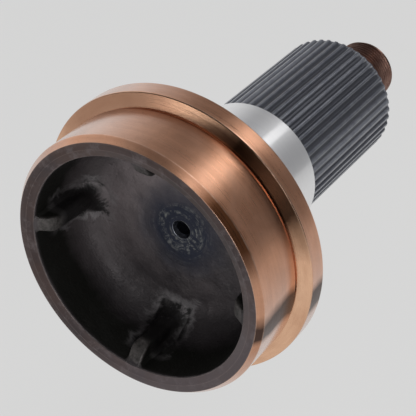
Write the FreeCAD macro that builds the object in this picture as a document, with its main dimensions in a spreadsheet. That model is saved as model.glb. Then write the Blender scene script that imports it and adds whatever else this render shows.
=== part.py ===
import FreeCAD, Part
import os
import Sketcher

# Drive shaft stub shaft.
# Every piece is drawn about its own local Z axis, which is the shaft's axis, and measured from
# the plane of the cup's rim. Its Placement then lays that axis along +Y, so the cup's mouth faces
# -Y, and moves the middle of the tube seat to the origin.

doc = FreeCAD.newDocument("stub_shaft")

# Driving sizes, in millimetres unless the note says otherwise
SIZES = [
    ("seat_dia", 95.0, "tube seat, a press fit in a 102 x 3.5 tube"),
    ("seat_end", 21.0, "rim plane to the end of the tube seat"),
    ("lead_length", 2.4, "lead bevel that guides the tube on"),
    ("lead_rise", 1.75, "radial height of the lead bevel"),
    ("wall_thick", 6.9, "cup wall at the lip"),
    ("wall_draft", 1.3, "how much thicker the wall is at the floor"),
    ("lip_width", 2.7, "radial width of the chamfered lip"),
    ("lip_depth", 0.9, "depth of the chamfered lip"),
    ("hollow_depth", 27.5, "rim plane to the floor"),
    ("floor_bevel", 7.0, "bevel between wall and floor"),
    ("floor_thick", 11.0, "floor thickness at the middle"),
    ("undercut_width", 1.2, "undercut at the root of the tube seat"),
    ("undercut_depth", 0.8, "depth of the undercut"),
    ("collar_step", 4.6, "collar above the tube seat, the tube's wall and a little more"),
    ("collar_seat_depth", 3.5, "collar's own seat below the tube seat"),
    ("collar_length", 10.4, "collar, front to back"),
    ("weld_bevel_rise", 5.1, "radial height of the weld bevel"),
    ("weld_bevel_length", 1.5, "axial length of the weld bevel"),
    ("collar_back_bevel", 2.2, "bevel at the collar's back"),
    ("back_margin", 1.0, "cup's back face past the neck's root"),
    ("rib_thick", 5.0, "rib across its sides"),
    ("rib_reach", 6.1, "how far the rib's end stands in from the lip"),
    ("rib_slope", 4.5, "depth of the rib's inner corner below the rim plane"),
    ("rib_nose_round", 2.4, "round at the rib's inner corner"),
    ("rib_edge_bevel", 0.8, "bevel along the rib's end and top"),
    ("foot_margin", 3.6, "how far the rib's foot spreads on the floor"),
    ("foot_thick", 0.6, "thickness at the edge of the rib's foot"),
    ("foot_corner", 4.4, "round at the corners of the rib's foot"),
    ("foot_bevel", 2.6, "bevel between rib and foot"),
    ("spigot_dia", 30.0, "shaft end that shows in the cup's floor"),
    ("spigot_recess", 0.2, "how far the shaft's end lies below the floor"),
    ("centre_hole_dia", 5.4, "centre hole in the shaft's end"),
    ("centre_hole_depth", 9.0, "depth of the centre hole"),
    ("neck_length", 11.5, "neck, cup's back to the bearing's shoulder"),
    ("neck_taper", 6.0, "length of the neck's taper"),
    ("neck_flare", 3.5, "radial height of the neck's taper"),
    ("shoulder_height", 4.5, "bearing's shoulder above the journal"),
    ("journal_dia", 50.0, "bearing journal"),
    ("journal_length", 24.4, "journal, shoulder to spline"),
    ("journal_wall", 4.0, "wall of the journal ring"),
    ("journal_chamfer", 0.5, "chamfer at each end of the journal ring"),
    ("spline_dia", 47.8, "over the tips of the teeth"),
    ("tooth_count", 46, "teeth, a plain count"),
    ("tooth_height", 1.0, "tip to root"),
    ("space_top", 2.2, "width of a tooth space at the tips"),
    ("space_root", 0.95, "width of a tooth space at the root"),
    ("spline_length", 60.0, "toothed length"),
    ("spline_chamfer", 1.0, "chamfer at the end of the teeth"),
    ("nose_dia", 24.0, "threaded nose, over the thread"),
    ("nose_length", 26.2, "nose beyond the spline"),
    ("relief_depth", 1.6, "radial depth of the relief beside the spline"),
    ("relief_length", 3.0, "length of the relief"),
    ("nose_chamfer", 0.9, "chamfer at the nose's end"),
    ("tail_dia", 14.0, "nose's tail, screwed into the shaft"),
    ("tail_length", 20.0, "length of the tail"),
    ("tail_clearance", 0.5, "room past the tail's end"),
]

sheet = doc.addObject("Spreadsheet::Sheet", "Sizes")
for row, (alias, number, note) in enumerate(SIZES, start=1):
    sheet.set(f"A{row}", alias)
    sheet.set(f"B{row}", str(number))
    sheet.set(f"C{row}", note)
    sheet.setAlias(f"B{row}", alias)
doc.recompute()


class Size:
    """A length with its value and the expression that binds it to the sheet."""

    def __init__(self, value, text):
        self.value = value
        self.text = text

    def combine(self, other, sign, work):
        other = as_size(other)
        return Size(work(self.value, other.value), f"({self.text} {sign} {other.text})")

    def __add__(self, other):
        return self.combine(other, "+", lambda a, b: a + b)

    def __sub__(self, other):
        return self.combine(other, "-", lambda a, b: a - b)

    def __mul__(self, other):
        return self.combine(other, "*", lambda a, b: a * b)

    def __truediv__(self, other):
        return self.combine(other, "/", lambda a, b: a / b)


def as_size(number):
    """Return a Size for a plain number, or the Size itself."""
    if isinstance(number, Size):
        return number
    return Size(float(number), repr(float(number)))


def cell(alias):
    """Return the sheet's value under this alias as a Size."""
    return Size(float(sheet.get(alias)), f"Sizes.{alias}")


ZERO = as_size(0)

# Sizes that follow from the driving ones
seat_r = cell("seat_dia") / 2
rim_r = seat_r - cell("lead_rise")
lead_end = cell("lead_length")
mouth_r = seat_r - cell("wall_thick")
lip_r = mouth_r + cell("lip_width")
hollow_floor_r = mouth_r - cell("wall_draft")
floor_at = cell("hollow_depth")
cup_back = floor_at + cell("floor_thick")
undercut_r = seat_r - cell("undercut_depth")
collar_at = cell("seat_end") + cell("undercut_width")
collar_back = collar_at + cell("collar_length")
collar_r = seat_r + cell("collar_step")
collar_seat_r = seat_r - cell("collar_seat_depth")
spigot_r = cell("spigot_dia") / 2
spigot_at = floor_at + cell("spigot_recess")
shoulder_at = cup_back + cell("neck_length")
journal_r = cell("journal_dia") / 2
journal_seat_r = journal_r - cell("journal_wall")
neck_r = journal_r + cell("shoulder_height")
neck_root_r = neck_r + cell("neck_flare")
spline_at = shoulder_at + cell("journal_length")
tip_r = cell("spline_dia") / 2
root_r = tip_r - cell("tooth_height")
nose_at = spline_at + cell("spline_length")
nose_r = cell("nose_dia") / 2
tail_r = cell("tail_dia") / 2
seat_middle = (lead_end + cell("seat_end")) / 2

# Turning local Z to +Y: a quarter turn about X
AXIS_TO_Y = FreeCAD.Rotation(FreeCAD.Vector(1, 0, 0), -90)

# Degrees that keep the seams of the cup and its hollow clear of the ribs
SEAM_TURN = 45

# How close a point counts as being there, when an edge is looked up
SLACK = 1e-3


def bind(thing, path, size):
    """Set one property of a document object from the sheet."""
    thing.setExpression(path, size.text)


def new_body(label, turn=0):
    """Return a body whose Z axis lies along +Y from the tube seat's middle, turned about that axis."""
    body = doc.addObject("PartDesign::Body", label)
    body.Label = label
    about_axis = FreeCAD.Rotation(FreeCAD.Vector(0, 0, 1), turn)
    body.Placement = FreeCAD.Placement(FreeCAD.Vector(0, 0, 0), AXIS_TO_Y.multiply(about_axis))
    bind(body, ".Placement.Base.y", ZERO - seat_middle)
    return body


def origin_feature(body, role):
    """Return the body's own origin plane or axis with this role."""
    return next(item for item in body.Origin.OriginFeatures if item.Role == role)


def new_sketch(body, name, role, offset=None):
    """Return a sketch on one of the body's origin planes, lifted by an offset."""
    sketch = body.newObject("Sketcher::SketchObject", name)
    sketch.AttachmentSupport = [(origin_feature(body, role), "")]
    sketch.MapMode = "FlatFace"
    if offset is not None:
        bind(sketch, ".AttachmentOffset.Base.z", offset)
    return sketch


def place_point(sketch, index, end, name, across, up):
    """Fix one end of a line by its distances from the sketch's origin."""
    for kind, suffix, size in (("DistanceX", "x", across), ("DistanceY", "y", up)):
        number = sketch.addConstraint(Sketcher.Constraint(kind, -1, 1, index, end, size.value))
        sketch.renameConstraint(number, f"{name}{suffix}")
        bind(sketch, f"Constraints.{name}{suffix}", size)


def draw_outline(sketch, points):
    """Draw a closed outline of straight lines through (across, up) points."""
    corners = [(as_size(across), as_size(up)) for across, up in points]
    vectors = [FreeCAD.Vector(across.value, up.value, 0) for across, up in corners]
    for start, end in zip(vectors, vectors[1:] + vectors[:1]):
        sketch.addGeometry(Part.LineSegment(start, end), False)
    last = len(corners) - 1
    for index in range(len(corners)):
        following = 0 if index == last else index + 1
        sketch.addConstraint(Sketcher.Constraint("Coincident", index, 2, following, 1))
    for index, (across, up) in enumerate(corners):
        place_point(sketch, index, 1, f"p{index}", across, up)


def revolve(body, name, points):
    """Turn an outline of (radius, height) points about the body's axis."""
    sketch = new_sketch(body, f"{name}_outline", "XZ_Plane")
    draw_outline(sketch, points)
    feature = body.newObject("PartDesign::Revolution", name)
    feature.Profile = sketch
    feature.ReferenceAxis = (sketch, ["V_Axis"])
    feature.Angle = 360
    body.Tip = feature
    doc.recompute()
    return feature


def turn_away(body, name, points):
    """Cut an outline of (radius, height) points, turned about the body's axis."""
    before = body.Shape.Volume
    sketch = new_sketch(body, f"{name}_outline", "XZ_Plane")
    draw_outline(sketch, points)
    feature = body.newObject("PartDesign::Groove", name)
    feature.Profile = sketch
    feature.ReferenceAxis = (sketch, ["V_Axis"])
    feature.Angle = 360
    body.Tip = feature
    doc.recompute()
    if not feature.Shape.Volume < before:
        raise RuntimeError(f"{body.Label}: {name} cuts nothing")
    return feature


def rings_at(feature, radius, height):
    """Name the circular edges of this radius that lie at this height."""
    names = []
    for number, edge in enumerate(feature.Shape.Edges, start=1):
        curve = edge.Curve
        if not isinstance(curve, Part.Circle):
            continue
        if abs(curve.Radius - radius.value) < SLACK and abs(curve.Center.z - height.value) < SLACK:
            names.append(f"Edge{number}")
    if not names:
        raise RuntimeError(f"no edge of radius {radius.value} at height {height.value}")
    return names


def dress(body, kind, name, base, edges, size_name, size):
    """Add a Fillet or a Chamfer of a bound size on named edges."""
    feature = body.newObject(f"PartDesign::{kind}", name)
    feature.Base = (base, edges)
    bind(feature, size_name, size)
    body.Tip = feature
    doc.recompute()
    return feature


def fillet(body, name, base, edges, radius):
    """Round the named edges of the base feature."""
    return dress(body, "Fillet", name, base, edges, "Radius", radius)


def chamfer(body, name, base, edges, size):
    """Bevel the named edges of the base feature."""
    return dress(body, "Chamfer", name, base, edges, "Size", size)


def edges_where(feature, test):
    """Name the edges whose middle point and direction pass the test."""
    names = []
    for number, edge in enumerate(feature.Shape.Edges, start=1):
        half_way = (edge.FirstParameter + edge.LastParameter) / 2
        if test(edge.valueAt(half_way), edge.tangentAt(half_way)):
            names.append(f"Edge{number}")
    if not names:
        raise RuntimeError(f"no edge of {feature.Name} passes the test")
    return names


def pad(body, name, role, points, length, offset=None, midplane=False):
    """Pad a straight-sided outline from one of the body's origin planes."""
    sketch = new_sketch(body, f"{name}_outline", role, offset)
    draw_outline(sketch, points)
    feature = body.newObject("PartDesign::Pad", name)
    feature.Profile = sketch
    feature.Midplane = midplane
    bind(feature, "Length", length)
    body.Tip = feature
    doc.recompute()
    return feature


def boolean(kind, label, base, tool):
    """Combine two bodies into one sub-part."""
    result = doc.addObject(f"Part::{kind}", label)
    result.Label = label
    result.Base = base
    result.Tool = tool
    doc.recompute()
    return result


def make_hollow():
    """The space inside the cup, which both the cup and its ribs are cut with."""
    body = new_body("hollow", SEAM_TURN)
    space = revolve(body, "space", [
        (ZERO, ZERO),
        (lip_r, ZERO),
        (mouth_r, cell("lip_depth")),
        (hollow_floor_r, floor_at),
        (ZERO, floor_at),
    ])
    corner = rings_at(space, hollow_floor_r, floor_at)
    chamfer(body, "floor_corner", space, corner, cell("floor_bevel"))
    return body


def make_cup(hollow):
    """The forged cup: rim, tube seat, undercut, collar seat and a bore for the shaft's end."""
    body = new_body("cup_blank", SEAM_TURN)
    revolve(body, "blank", [
        (ZERO, ZERO),
        (rim_r, ZERO),
        (seat_r, lead_end),
        (seat_r, cell("seat_end")),
        (undercut_r, cell("seat_end")),
        (undercut_r, collar_at),
        (collar_seat_r, collar_at),
        (collar_seat_r, collar_back),
        (neck_root_r + cell("back_margin"), cup_back),
        (ZERO, cup_back),
    ])
    turn_away(body, "bore", [
        (ZERO, floor_at),
        (spigot_r, floor_at),
        (spigot_r, cup_back),
        (ZERO, cup_back),
    ])
    return boolean("Cut", "tube_cup", body, hollow)


def make_rib(word, spin, hollow):
    """One rib of the cup, from the rim to the floor, with a spread foot."""
    body = new_body(f"rib_blank_{word}", spin)
    half = cell("rib_thick") / 2
    end_r = mouth_r - cell("rib_reach")
    slope = cell("rib_slope")
    foot_top = floor_at - cell("foot_thick")
    foot_end_r = end_r - cell("foot_margin")
    foot_half = half + cell("foot_margin")
    web = pad(body, "web", "XZ_Plane", [
        (end_r, slope),
        (mouth_r, ZERO),
        (seat_r, ZERO),
        (seat_r, floor_at),
        (end_r, floor_at),
    ], cell("rib_thick"), midplane=True)

    def inner_corner(middle, along):
        return middle.distanceToPoint(FreeCAD.Vector(end_r.value, 0, slope.value)) < SLACK

    nose = fillet(body, "nose", web, edges_where(web, inner_corner), cell("rib_nose_round"))

    def end_edge(middle, along):
        on_side = abs(abs(middle.y) - half.value) < SLACK
        return on_side and middle.x < mouth_r.value - SLACK and middle.z < floor_at.value - SLACK

    chamfer(body, "end_edges", nose, edges_where(nose, end_edge), cell("rib_edge_bevel"))
    foot = pad(body, "foot", "XY_Plane", [
        (foot_end_r, ZERO - foot_half),
        (seat_r, ZERO - foot_half),
        (seat_r, foot_half),
        (foot_end_r, foot_half),
    ], cell("foot_thick"), offset=foot_top)

    def foot_corner(middle, along):
        at_end = abs(middle.x - foot_end_r.value) < SLACK
        return at_end and abs(along.z) > 1 - SLACK

    rounded = fillet(body, "foot_corners", foot, edges_where(foot, foot_corner), cell("foot_corner"))

    def root(middle, along):
        at_top = abs(middle.z - foot_top.value) < SLACK
        inside = abs(middle.y) < half.value + SLACK and middle.x > end_r.value - SLACK
        return at_top and inside and middle.x < seat_r.value - SLACK

    chamfer(body, "foot_root", rounded, edges_where(rounded, root), cell("foot_bevel"))
    return boolean("Common", f"cup_rib_{word}", body, hollow)


def make_collar():
    """The weld collar behind the tube seat, with a bevel that the weld fills."""
    body = new_body("weld_collar")
    back_bevel = cell("collar_back_bevel")
    revolve(body, "ring", [
        (collar_seat_r, collar_at),
        (collar_r - cell("weld_bevel_rise"), collar_at),
        (collar_r, collar_at + cell("weld_bevel_length")),
        (collar_r, collar_back - back_bevel),
        (collar_r - back_bevel, collar_back),
        (collar_seat_r, collar_back),
    ])
    return body


def make_neck():
    """The forged neck between the cup's back and the bearing's shoulder."""
    body = new_body("neck_hub")
    revolve(body, "hub", [
        (spigot_r, cup_back),
        (neck_root_r, cup_back),
        (neck_r, cup_back + cell("neck_taper")),
        (neck_r, shoulder_at),
        (spigot_r, shoulder_at),
    ])
    return body


def make_journal():
    """The ground ring that the centre bearing sits on."""
    body = new_body("journal_ring")
    ring = revolve(body, "ring", [
        (journal_seat_r, shoulder_at),
        (journal_r, shoulder_at),
        (journal_r, spline_at),
        (journal_seat_r, spline_at),
    ])
    edges = rings_at(ring, journal_r, shoulder_at) + rings_at(ring, journal_r, spline_at)
    chamfer(body, "edges", ring, edges, cell("journal_chamfer"))
    return body


def make_shaft():
    """The shaft: end spigot in the cup's floor, journal seat, spline and a bore for the nose."""
    body = new_body("spline_shaft")
    tooth_chamfer = cell("spline_chamfer")
    revolve(body, "core", [
        (ZERO, spigot_at),
        (spigot_r, spigot_at),
        (spigot_r, shoulder_at),
        (journal_seat_r, shoulder_at),
        (journal_seat_r, spline_at),
        (tip_r, spline_at),
        (tip_r, nose_at - tooth_chamfer),
        (tip_r - tooth_chamfer, nose_at),
        (ZERO, nose_at),
    ])
    centre_r = cell("centre_hole_dia") / 2
    centre_end = spigot_at + cell("centre_hole_depth")
    turn_away(body, "centre_hole", [
        (ZERO, spigot_at),
        (centre_r, spigot_at),
        (centre_r, centre_end),
        (ZERO, centre_end),
    ])
    tail_room = nose_at - cell("tail_length") - cell("tail_clearance")
    turn_away(body, "tail_bore", [
        (ZERO, nose_at),
        (ZERO, tail_room),
        (tail_r, tail_room),
        (tail_r, nose_at),
    ])
    cut_tooth_spaces(body)
    return body


def cut_tooth_spaces(body):
    """Cut one straight tooth space along the shaft and repeat it round the axis."""
    before = body.Shape.Volume
    over_tip = tip_r + cell("tooth_height")
    flare = (cell("space_top") - cell("space_root")) / 2
    space_sketch = new_sketch(body, "space_outline", "XY_Plane", spline_at)
    draw_outline(space_sketch, [
        (root_r, ZERO - cell("space_root") / 2),
        (over_tip, ZERO - cell("space_top") / 2 - flare),
        (over_tip, cell("space_top") / 2 + flare),
        (root_r, cell("space_root") / 2),
    ])
    space = body.newObject("PartDesign::Pocket", "space")
    space.Profile = space_sketch
    space.Reversed = True
    bind(space, "Length", cell("spline_length"))
    body.Tip = space
    doc.recompute()
    ring_of_spaces = body.newObject("PartDesign::PolarPattern", "tooth_spaces")
    ring_of_spaces.Originals = [space]
    ring_of_spaces.Axis = (origin_feature(body, "Z_Axis"), [""])
    ring_of_spaces.Angle = 360
    bind(ring_of_spaces, "Occurrences", cell("tooth_count"))
    body.Tip = ring_of_spaces
    doc.recompute()
    removed = before - body.Shape.Volume
    mean_width = (cell("space_top").value + cell("space_root").value) / 2
    one_space = mean_width * cell("tooth_height").value * cell("spline_length").value
    if not 0.7 < removed / (one_space * cell("tooth_count").value) < 1.2:
        raise RuntimeError(f"the tooth spaces remove {removed:.0f} cubic mm")


def make_nose():
    """The nose, threaded for the yoke's nut, with a tail in the shaft's end."""
    body = new_body("nose_stud")
    tail_end = nose_at - cell("tail_length")
    nose_end = nose_at + cell("nose_length")
    step = cell("relief_depth")
    relief_r = nose_r - step
    relief_end = nose_at + cell("relief_length")
    revolve(body, "stud", [
        (ZERO, tail_end),
        (tail_r, tail_end),
        (tail_r, nose_at),
        (relief_r, nose_at),
        (relief_r, relief_end),
        (nose_r, relief_end + step),
        (nose_r, nose_end - cell("nose_chamfer")),
        (nose_r - cell("nose_chamfer"), nose_end),
        (ZERO, nose_end),
    ])
    return body


def check_document():
    """Stop if any object of the document failed to compute."""
    for item in doc.Objects:
        if "Invalid" in item.State or "Error" in item.State:
            raise RuntimeError(f"{item.Label} failed: {item.State}")


def export(pieces):
    """Write each sub-part as one STEP file named after its label."""
    os.makedirs("parts", exist_ok=True)
    for piece in pieces:
        shape = piece.Shape
        if shape.isNull() or not shape.isValid() or len(shape.Solids) != 1:
            raise RuntimeError(f"{piece.Label} is not one valid solid")
        shape.exportStep(f"parts/{piece.Label}.step")
        print(f"{piece.Label}: {shape.Volume / 1000:.2f} cubic cm, {len(shape.Faces)} faces")


RIB_WORDS = ("right", "bottom", "left", "top")

hollow = make_hollow()
pieces = [make_cup(hollow)]
for index, word in enumerate(RIB_WORDS):
    pieces.append(make_rib(word, 360 / len(RIB_WORDS) * index, hollow))
pieces += [make_collar(), make_neck(), make_journal(), make_shaft(), make_nose()]
doc.recompute()
check_document()
export(pieces)
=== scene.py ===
import math

import bmesh
import bpy
from bpy.props import FloatProperty, FloatVectorProperty, IntProperty, PointerProperty
from mathutils import Matrix, Vector, noise


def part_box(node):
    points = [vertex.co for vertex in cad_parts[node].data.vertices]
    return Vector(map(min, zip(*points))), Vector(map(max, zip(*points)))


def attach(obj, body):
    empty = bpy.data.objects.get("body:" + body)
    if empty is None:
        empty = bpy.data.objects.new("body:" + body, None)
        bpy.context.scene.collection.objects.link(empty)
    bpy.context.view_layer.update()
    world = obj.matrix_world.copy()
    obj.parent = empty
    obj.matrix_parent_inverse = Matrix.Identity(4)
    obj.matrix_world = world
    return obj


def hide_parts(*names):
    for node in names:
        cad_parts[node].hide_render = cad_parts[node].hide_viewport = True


bl_info = {
    "name": "Drive shaft stub shaft",
    "version": (1, 0, 0),
    "blender": (4, 5, 0),
    "location": "View3D > Sidebar > Stub shaft",
    "description": "Dresses a drive shaft stub shaft: turned cup, ribs, collar, journal, spline and thread",
    "category": "Object",
}

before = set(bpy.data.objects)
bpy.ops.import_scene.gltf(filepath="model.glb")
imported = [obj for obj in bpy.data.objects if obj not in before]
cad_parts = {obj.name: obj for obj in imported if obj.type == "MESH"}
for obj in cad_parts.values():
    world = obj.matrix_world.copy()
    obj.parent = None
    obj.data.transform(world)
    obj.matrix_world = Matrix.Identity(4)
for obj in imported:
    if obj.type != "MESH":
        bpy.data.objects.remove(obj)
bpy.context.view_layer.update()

MM = 0.001
AROUND = 192
AROUND_CUP = 256
AROUND_NOSE = 96

# The middles of the painted dark reflections on the copper film, in radians: on the seat and collar, and on
# the lead bevel
SEAT_PAINTED_REFLECTION_AT = 0.075
LEAD_PAINTED_REFLECTION_AT = 0.87

# The middles of the weld bevel's painted dark reflections, a near-black one and a paler brown one, in
# radians
BEVEL_PAINTED_REFLECTION_AT = 0.95
BEVEL_DIM_PAINTED_REFLECTION_AT = 2.2

# Rounds under this size are broken edges, and larger ones are fillets
SMALL_ROUND = 1 * MM

# The largest steps round a broken edge and round a fillet, and the angle of a sharp edge, in degrees
EDGE_STEP = 12
FILLET_STEP = 5
SHARP_ANGLE = 38

# How close to the end of a run an extra ring keeps the shading flat
EDGE_HOLD = 0.12 * MM

# The longest face on a forged surface, so that its relief shows
FORGED_STEP = 1.1 * MM

# Stations along the shaft, read from the CAD pieces
RIM_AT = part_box("tube_cup")[0].y
CUP_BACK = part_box("tube_cup")[1].y
SEAT_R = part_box("tube_cup")[1].x
COLLAR_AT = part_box("weld_collar")[0].y
COLLAR_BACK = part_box("weld_collar")[1].y
COLLAR_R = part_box("weld_collar")[1].x
NECK_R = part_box("neck_hub")[1].x
SHOULDER_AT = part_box("neck_hub")[1].y
SPLINE_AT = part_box("journal_ring")[1].y
JOURNAL_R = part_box("journal_ring")[1].x
SPIGOT_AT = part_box("spline_shaft")[0].y
SPLINE_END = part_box("spline_shaft")[1].y
TIP_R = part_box("spline_shaft")[1].x
NOSE_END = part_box("nose_stud")[1].y
NOSE_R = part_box("nose_stud")[1].x

# The cup's hollow, measured from the rim plane
LIP_R = SEAT_R - 4.2 * MM
LIP_DEPTH = 0.9 * MM
MOUTH_R = SEAT_R - 6.9 * MM
FLOOR_DEPTH = 27.5 * MM
FLOOR_R = MOUTH_R - 1.3 * MM
FLOOR_ROUND = 12.0 * MM
ROUND_DEPTH = FLOOR_DEPTH - FLOOR_ROUND
ROUND_R = FLOOR_R + 0.6 * MM - FLOOR_ROUND
SPIGOT_R = 15.0 * MM

# The cup's lead bevel and undercut, and the bore of the collar on it
LEAD_LENGTH = 2.4 * MM
LEAD_HEIGHT = 1.75 * MM
UNDERCUT_WIDTH = 1.2 * MM
UNDERCUT_DEPTH = 0.8 * MM
COLLAR_BORE_R = SEAT_R - 3.5 * MM
WELD_BEVEL_LENGTH = 1.5 * MM
WELD_BEVEL_HEIGHT = 5.1 * MM
COLLAR_CHAMFER = 2.2 * MM

# The neck's flare and shoulder, and the journal on the shaft
NECK_TAPER = 6 * MM
NECK_FLARE = 3.5 * MM
NECK_ROUND = 5 * MM
SHOULDER_CHAMFER = 1 * MM
JOURNAL_WALL = 4 * MM
JOURNAL_CHAMFER = 0.5 * MM

# The spline's tooth space, the centre hole, and the nose; the thread's depth is a share of its pitch
SPACE_AT_TIP = 2.2 * MM
SPACE_AT_ROOT = 0.95 * MM
TOOTH_ROUND = 0.14 * MM
SPLINE_CHAMFER = 1 * MM
CENTRE_R = 2.7 * MM
CENTRE_DEPTH = 9 * MM
RELIEF_LENGTH = 3 * MM
RELIEF_HEIGHT = 1.6 * MM
NOSE_CHAMFER = 0.9 * MM
NOSE_HOLE_R = 2.5 * MM
NOSE_HOLE_DEPTH = 4 * MM
THREAD_DEPTH = 0.61

# A rib's top: how deep its slope ends, the rounds of its end and edges, its flare and its reach inwards
RIB_SLOPE = 4.5 * MM
RIB_NOSE = 2.4 * MM
RIB_TOP_ROUND = 1 * MM
RIB_FLARE = 1.6 * MM
RIB_END_R = MOUTH_R - 6.1 * MM

# Where each rib stands round the axis, in degrees from +X towards +Z
RIBS = {"right": 0, "bottom": -90, "left": 180, "top": 90}


def length(label, text, value, least=0.0):
    """Return a length property of the add-on."""
    return FloatProperty(name=label, description=text, default=value, min=least,
                         subtype="DISTANCE", unit="LENGTH")


class StubSizes(bpy.types.PropertyGroup):
    edge_round: length("Edge round", "Radius of the broken edges of turned pieces", 0.35 * MM, 0.05 * MM)
    forging_relief: length("Forging relief", "How far the forged skin leaves its plain shape", 0.22 * MM)
    rib_thickness: length("Rib thickness", "Thickness of each rib across its sides", 5.0 * MM, 1 * MM)
    rib_foot: length("Rib foot", "Radius of the fillet where a rib meets the floor", 4.2 * MM, 0.5 * MM)
    rib_draft: length("Rib draft", "Extra thickness of a rib's half at the floor", 1.2 * MM)
    tooth_count: IntProperty(name="Teeth", description="Number of spline teeth", default=46, min=6)
    tooth_height: length("Tooth height", "Tip to root of a spline tooth", 1.0 * MM, 0.1 * MM)
    thread_pitch: length("Thread pitch", "Distance between the thread's turns", 1.5 * MM, 0.5 * MM)
    lens: FloatProperty(
        name="Lens", description="Focal length of the camera", default=118.37,
        min=20.0, subtype="DISTANCE_CAMERA", unit="CAMERA")
    floor_drop: length("Floor drop", "From the shaft's axis down to the studio floor", 0.20, 0.06)


def colour(label, text, value):
    """Return a colour property of the add-on."""
    return FloatVectorProperty(name=label, description=text, default=value,
                               subtype="COLOR", size=3, min=0.0, max=1.0)


class StubColours(bpy.types.PropertyGroup):
    film: colour("Copper film", "Copper-coloured film on the turned cup", (0.80, 0.41, 0.25))
    film_deep: colour("Copper film, deep", "Darker parts of the film", (0.40, 0.17, 0.09))
    skin: colour("Forged skin", "Dark skin inside the cup and on the ribs", (0.044, 0.038, 0.042))
    skin_worn: colour("Forged skin, worn", "Rubbed places on the forged skin", (0.21, 0.19, 0.188))
    journal: colour("Ground steel", "Ground journal", (0.985, 0.985, 0.99))
    spline: colour("Hardened steel", "Blue-grey spline", (0.150, 0.163, 0.215))
    spline_worn: colour("Hardened steel, worn", "Rubbed tips of the teeth", (0.30, 0.315, 0.345))
    nose: colour("Nose film", "Copper-brown film on the thread", (0.34, 0.20, 0.155))
    stage: colour("Stage", "Studio floor", (0.75, 0.75, 0.745))


# Shapes


def rounded(corners, closed):
    """Round an outline's corners and return its points as (along, radius, finish, edge, fillet)."""
    count = len(corners)
    points = []
    for index, (along, radius, size, finish) in enumerate(corners):
        here = Vector((along, radius))
        at_end = not closed and index in (0, count - 1)
        if at_end or size <= 0:
            points.append((along, radius, finish, 0.0, 0.0))
            continue
        before = Vector(corners[index - 1][:2]) - here
        after = Vector(corners[(index + 1) % count][:2]) - here
        turn = math.pi - before.angle(after)
        reach = min(size * math.tan(turn / 2), 0.6 * before.length, 0.6 * after.length)
        if turn < math.radians(2):
            points.append((along, radius, finish, 0.0, 0.0))
            continue
        true_size = reach / math.tan(turn / 2)
        start = here + before.normalized() * reach
        middle = (before.normalized() + after.normalized()).normalized()
        centre = here + middle * (true_size / math.cos(turn / 2))
        steps = max(3, math.ceil(math.degrees(turn) / (EDGE_STEP if size < SMALL_ROUND else FILLET_STEP)))
        sweep = (start - centre).angle_signed(here + after.normalized() * reach - centre)
        last_finish = corners[index - 1][3]
        edge, fillet = (1.0, 0.0) if size < SMALL_ROUND else (0.0, 1.0)
        for step in range(steps + 1):
            share = step / steps
            arm = (start - centre).copy()
            arm.rotate(Matrix.Rotation(-sweep * share, 2))
            spot = centre + arm
            side = finish if share > 0.5 else last_finish
            rubbed = fillet * math.sin(math.pi * (1 - share) ** 2)
            points.append((spot.x, spot.y, side, edge, rubbed))
    return points


def divided(points, closed, longest):
    """Add a point near both ends of each long run, and more along it where a length is given."""
    result = []
    count = len(points)
    for index, point in enumerate(points):
        result.append(point)
        if not closed and index == count - 1:
            break
        following = points[(index + 1) % count]
        run = math.dist(point[:2], following[:2])
        if run < 4 * EDGE_HOLD:
            continue
        shares = [EDGE_HOLD / run, 1 - EDGE_HOLD / run]
        if longest and point[2] in longest:
            extra = math.ceil(run / longest[point[2]])
            shares[1:1] = [n / extra for n in range(1, extra)]
        for share in shares:
            along = point[0] + (following[0] - point[0]) * share
            radius = point[1] + (following[1] - point[1]) * share
            result.append((along, radius, point[2], 0.0, 0.0))
    return result


def turned(name, points, closed, around):
    """Turn points about the axis into a smooth mesh with edge and fillet masks and a finish per face."""
    made = bmesh.new()
    edge = made.verts.layers.float.new("edge")
    fillet = made.verts.layers.float.new("fillet")
    rings = []
    for along, radius, finish, on_edge, in_fillet in points:
        spots = 1 if radius < 1e-7 else around
        ring = []
        for step in range(spots):
            angle = 2 * math.pi * step / around
            vert = made.verts.new((radius * math.cos(angle), along, radius * math.sin(angle)))
            vert[edge] = on_edge
            vert[fillet] = in_fillet
            ring.append(vert)
        rings.append(ring)
    pairs = list(zip(rings, rings[1:]))
    if closed:
        pairs.append((rings[-1], rings[0]))
    for number, (first, second) in enumerate(pairs):
        for step in range(around):
            after = (step + 1) % around
            if len(first) == 1:
                corners = [first[0], second[after], second[step]]
            elif len(second) == 1:
                corners = [first[step], first[after], second[0]]
            else:
                corners = [first[step], first[after], second[after], second[step]]
            made.faces.new(corners).material_index = points[number][2]
    bmesh.ops.recalc_face_normals(made, faces=made.faces)
    return finish_mesh(name, made)


def join_rows(made, rows):
    """Join closed rows of as many points each with faces."""
    for first, second in zip(rows, rows[1:]):
        for step in range(len(first)):
            after = (step + 1) % len(first)
            made.faces.new((first[step], first[after], second[after], second[step]))


def finish_mesh(name, made):
    """Turn a bmesh into a smooth-shaded object that rides on the shaft."""
    mesh = bpy.data.meshes.new(name)
    made.to_mesh(mesh)
    made.free()
    mesh.polygons.foreach_set("use_smooth", [True] * len(mesh.polygons))
    mesh.set_sharp_from_angle(angle=math.radians(SHARP_ANGLE))
    piece = bpy.data.objects.new(name, mesh)
    bpy.context.scene.collection.objects.link(piece)
    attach(piece, "root")
    return piece


def wander(spot, size, amount):
    """Return how far a forged surface leaves its plain shape at a spot."""
    coarse = noise.noise(spot / size)
    middle = noise.noise(spot / (size * 0.45) + Vector((7, 3, 5)))
    fine = noise.noise(spot / (size * 0.2) + Vector((1, 9, 4)))
    return amount * (coarse + 0.5 * middle + 0.22 * fine)


def stand_for(piece, node, slot, *finishes):
    """Hide the CAD node that a piece stands for, and give the piece its finishes; the slot is not used."""
    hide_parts(node)
    for make in finishes:
        piece.data.materials.append(material_of(make))


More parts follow.
